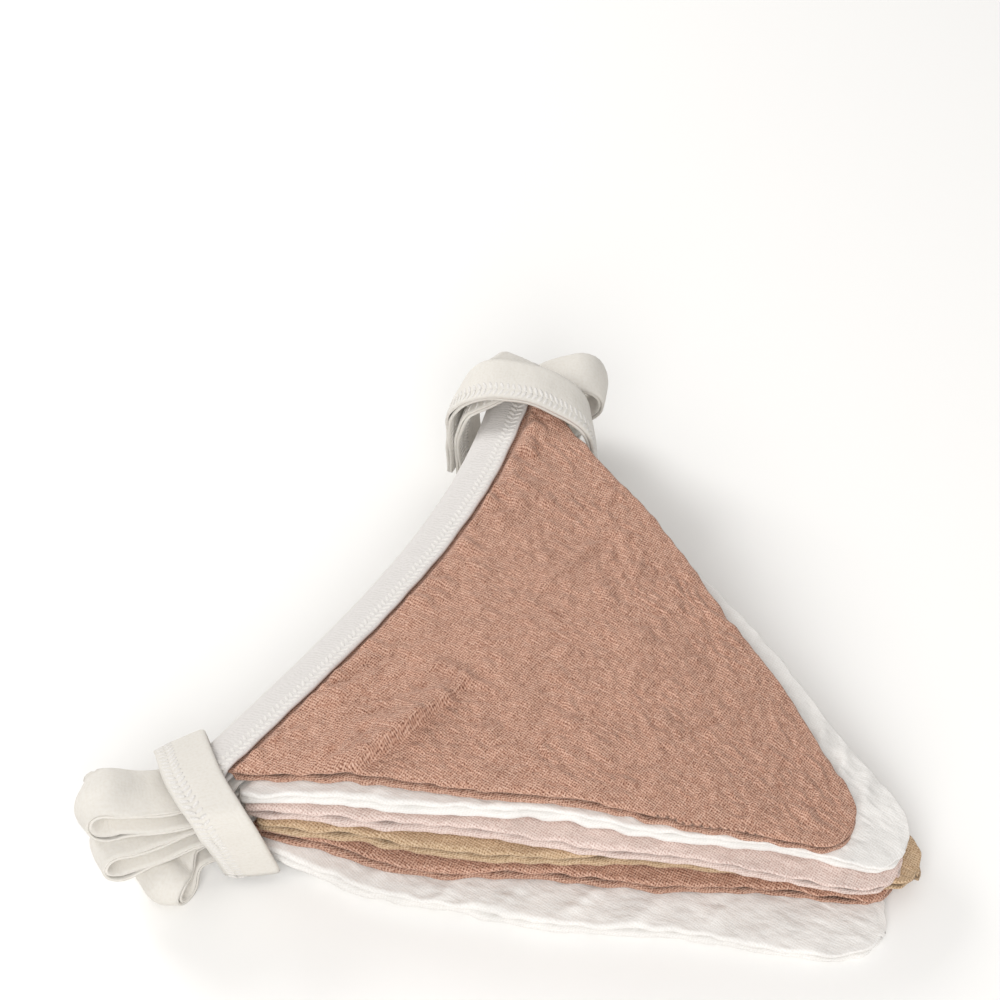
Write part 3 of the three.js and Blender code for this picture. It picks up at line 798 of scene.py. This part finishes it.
def tapeMaterial():
    material, tree, shader = newMaterial("cottonTape")
    flat = addClothPlace(tree)
    parts = addParts(tree, flat)
    bare = addMark(tree, "bare")
    fromFold = addMath(tree, "ABSOLUTE", parts["X"])
    ribbed = addMath(tree, "MULTIPLY", addRange(tree, fromFold, *tape["ribStart"], tape["atFold"], 1),
                     addRange(tree, fromFold, *tape["ribEnd"], 1, tape["atEdge"]))
    ribbed = addMath(tree, "MULTIPLY", ribbed, addRange(tree, bare, 0, 1, 1, tape["onBare"]))
    slipping = addNoise(tree, flat, tape["slipGrain"])
    slip = addRange(tree, slipping, *noiseSpan, -tape["ribSlip"], tape["ribSlip"])
    along = addMath(tree, "ADD", parts["Y"], slip)
    ribs = addMath(tree, "SINE", addMath(tree, "MULTIPLY", along, 2 * math.pi / tape["ribPitch"]))
    ribs = addMath(tree, "MULTIPLY", addRange(tree, ribs, -1, 1, -tape["ribShade"], tape["ribShade"]), ribbed)
    uneven = addNoise(tree, addMapping(tree, flat, (*tape["unevenGrain"], 1)), 1, 4)
    shown = addMath(tree, "ADD", ribs, uneven)
    low, high = tape["colourStops"]
    white = addRamp(tree, shown, ((low, tape["shade"]), (high, tape["colour"])))
    # cream where the tape is bare, white where it is sewn, mixed by the "bare" mark
    bareCream = addRamp(tree, shown, ((low, tape["creamShade"]), (high, tape["cream"])))
    blend = tree.nodes.new("ShaderNodeMix")
    blend.data_type = "RGBA"
    tree.links.new(bare, blend.inputs["Factor"])
    tree.links.new(white, blend.inputs[6])  # a Mix node's colour sockets have only numbers of their own
    tree.links.new(bareCream, blend.inputs[7])
    tree.links.new(blend.outputs[2], shader.inputs["Base Color"])
    slacking = addNoise(tree, flat, tape["slackGrain"], 3)
    slack = addBump(tree, slacking, tape["slackStrength"], tape["slackBump"])
    ribbing = addBump(tree, shown, tape["ribStrength"], tape["ribBump"], slack)
    tree.links.new(ribbing, shader.inputs["Normal"])
    tree.links.new(addRange(tree, uneven, 0, 1, *tape["roughness"]), shader.inputs["Roughness"])
    shader.inputs["Specular IOR Level"].default_value = tape["shine"]
    shader.inputs["Sheen Weight"].default_value = tape["sheen"]
    return material


# Stitching: two slanting rows that meet in points, like an ear of wheat
stitching = {
    "pitch": 1.45, "from": 0.6, "to": 5.2, "slant": 1.2, "thick": 1.05, "high": 0.64, "longer": 1.1,
    "sunk": 0.08, "faces": (8, 5), "uneven": 0.6, "lowest": 1.2,
    "colour": linear(226, 223, 219), "shade": linear(212, 208, 203), "fuzzGrain": 2600,
    "fuzzStrength": 0.5, "fuzzBump": 0.08, "roughness": (0.7, 0.9), "sheen": 0.1,
}


def stitchMesh(path):
    grain = bmesh.new()
    around, over = stitching["faces"]
    bmesh.ops.create_uvsphere(grain, u_segments=around, v_segments=over, radius=0.5)
    corners = [vert.co.copy() for vert in grain.verts]
    sides = [[vert.index for vert in face.verts] for face in grain.faces]
    grain.free()
    points, faces = [], []
    middle = (stitching["from"] + stitching["to"]) / 2
    due = 0
    for stop in path:
        if stop.length < due:
            continue
        due = stop.length + stitching["pitch"]
        for face in stop.sewn:
            for edge in (stitching["from"], stitching["to"]):
                places = [face * (halfStrip - across) for across in (edge, middle)]
                ends = [tapePoint(stop, place, tape["leaf"] / 2 - stitching["sunk"]) for place in places]
                slip = noise.noise((stop.length, edge, face)) * stitching["uneven"]
                ends[0] += stop.tangent * slip
                ends[1] += stop.tangent * (stitching["slant"] - slip)
                if min(ends[0].z, ends[1].z) < stitching["lowest"]:
                    continue
                along = ends[1] - ends[0]
                up = stop.normal * face
                turn = Matrix((along.normalized(), up.cross(along).normalized(), up)).transposed()
                size = Vector((along.length * stitching["longer"], stitching["thick"],
                               stitching["high"] / (1 + stop.puff)))
                first = len(points)
                points += [((ends[0] + ends[1]) / 2 + turn @ (corner * size)) * mm for corner in corners]
                faces += [[first + corner for corner in side] for side in sides]
    mesh = bpy.data.meshes.new("tapeStitching")
    mesh.from_pydata(points, [], faces)
    mesh.shade_smooth()
    return mesh


def threadMaterial():
    material, tree, shader = newMaterial("sewingThread")
    place = tree.nodes.new("ShaderNodeTexCoord").outputs["Object"]
    fuzz = addNoise(tree, place, stitching["fuzzGrain"], 2)
    colours = (stitching["shade"], stitching["colour"])
    tree.links.new(addRamp(tree, fuzz, tuple(zip(noiseSpan, colours))), shader.inputs["Base Color"])
    fuzzy = addBump(tree, fuzz, stitching["fuzzStrength"], stitching["fuzzBump"])
    tree.links.new(fuzzy, shader.inputs["Normal"])
    tree.links.new(addRange(tree, fuzz, 0, 1, *stitching["roughness"]), shader.inputs["Roughness"])
    shader.inputs["Sheen Weight"].default_value = stitching["sheen"]
    return material


def addTape():
    path = finePath(tapeRoute())
    piece = addPiece(tapeMesh(path), tapeMaterial(), "tape")
    thick = piece.modifiers.new("thickness", "SOLIDIFY")
    thick.thickness = tape["leaf"] * mm
    thick.offset = 0
    stitches = addPiece(stitchMesh(path), threadMaterial())


addTape()
